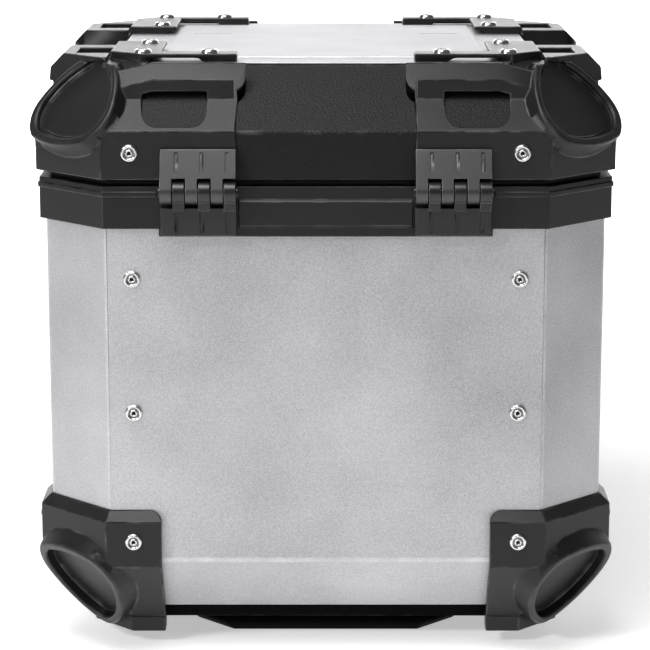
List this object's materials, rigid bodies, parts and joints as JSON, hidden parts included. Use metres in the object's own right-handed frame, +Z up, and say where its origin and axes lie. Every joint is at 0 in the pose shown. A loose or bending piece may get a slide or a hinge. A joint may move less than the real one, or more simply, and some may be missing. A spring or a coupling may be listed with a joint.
{
  "type": "motorcycle top case",
  "caption": "Aluminium motorcycle top case with black bumper corners, grip bars, hinged lid, swing latches with locks and a mounting adapter.",
  "frame": {"origin": "centre of the mounting adapter's underside", "axes": "+Z up, X across the case, -Y towards the hinge side, +Y towards the latch side"},
  "size_m": [0.3948, 0.3949, 0.4083],
  "materials": {
    "anodised_sheet": "matte anodised with a fine grain",
    "moulded_black": "glass-filled nylon, fine moulded grain",
    "textured_black": "coarse moulded grain",
    "satin_black": "satin",
    "dark_plate": "matte",
    "seal_rubber": "soft matte",
    "bright_steel": "turned, bright",
    "lock_chrome": "polished"
  },
  "bodies": {
    "case": {"body_wrap": "anodised_sheet", "side_cheek_left": "anodised_sheet", "side_cheek_right": "anodised_sheet", "case_collar": "moulded_black", "base_plate": "dark_plate", "mounting_adapter": "dark_plate", "adapter_screws": "bright_steel", "lower_corner_front_left": "moulded_black", "lower_corner_front_right": "moulded_black", "lower_corner_rear_left": "moulded_black", "lower_corner_rear_right": "moulded_black", "case_rivets": "bright_steel", "lower_corner_rivets": "bright_steel", "hinge_lower_leaf_left": "satin_black", "hinge_lower_leaf_right": "satin_black", "hinge_pin_left": "satin_black", "hinge_pin_right": "satin_black", "hinge_screws_case": "bright_steel", "latch_keeper_left": "satin_black", "latch_keeper_right": "satin_black", "stay_anchors_case": "moulded_black"},
    "lid": {"lid_frame": "textured_black", "lid_panel": "anodised_sheet", "lid_seal": "seal_rubber", "lid_corner_front_left": "moulded_black", "lid_corner_front_right": "moulded_black", "lid_corner_rear_left": "moulded_black", "lid_corner_rear_right": "moulded_black", "lid_rivets_top": "bright_steel", "lid_rivets_band": "bright_steel", "hinge_upper_leaf_left": "satin_black", "hinge_upper_leaf_right": "satin_black", "hinge_screws_lid": "bright_steel", "latch_bracket_left": "satin_black", "latch_bracket_right": "satin_black", "latch_pin_left": "bright_steel", "latch_pin_right": "bright_steel", "stay_anchors_lid": "moulded_black"},
    "latch_left": {"latch_lever_left": "satin_black"},
    "lock_left": {"lock_plug_left": "lock_chrome"},
    "latch_right": {"latch_lever_right": "satin_black"},
    "lock_right": {"lock_plug_right": "lock_chrome"}
  },
  "joints": [
    {"name": "lid_hinge", "type": "hinge", "parent": "case", "child": "lid", "pos_m": [0, -0.1885, 0.3212], "axis": [1, 0, 0], "range_deg": [0, 95]},
    {"name": "latch_left_swing", "type": "hinge", "parent": "lid", "child": "latch_left", "pos_m": [-0.0825, 0.189, 0.35], "axis": [1, 0, 0], "range_deg": [0, 100]},
    {"name": "lock_left_turn", "type": "hinge", "parent": "latch_left", "child": "lock_left", "pos_m": [-0.0825, 0.19, 0.3075], "axis": [0, 1, 0], "range_deg": [0, 90]},
    {"name": "latch_right_swing", "type": "hinge", "parent": "lid", "child": "latch_right", "pos_m": [0.0825, 0.189, 0.35], "axis": [1, 0, 0], "range_deg": [0, 100]},
    {"name": "lock_right_turn", "type": "hinge", "parent": "latch_right", "child": "lock_right", "pos_m": [0.0825, 0.19, 0.3075], "axis": [0, 1, 0], "range_deg": [0, 90]}
  ]
}
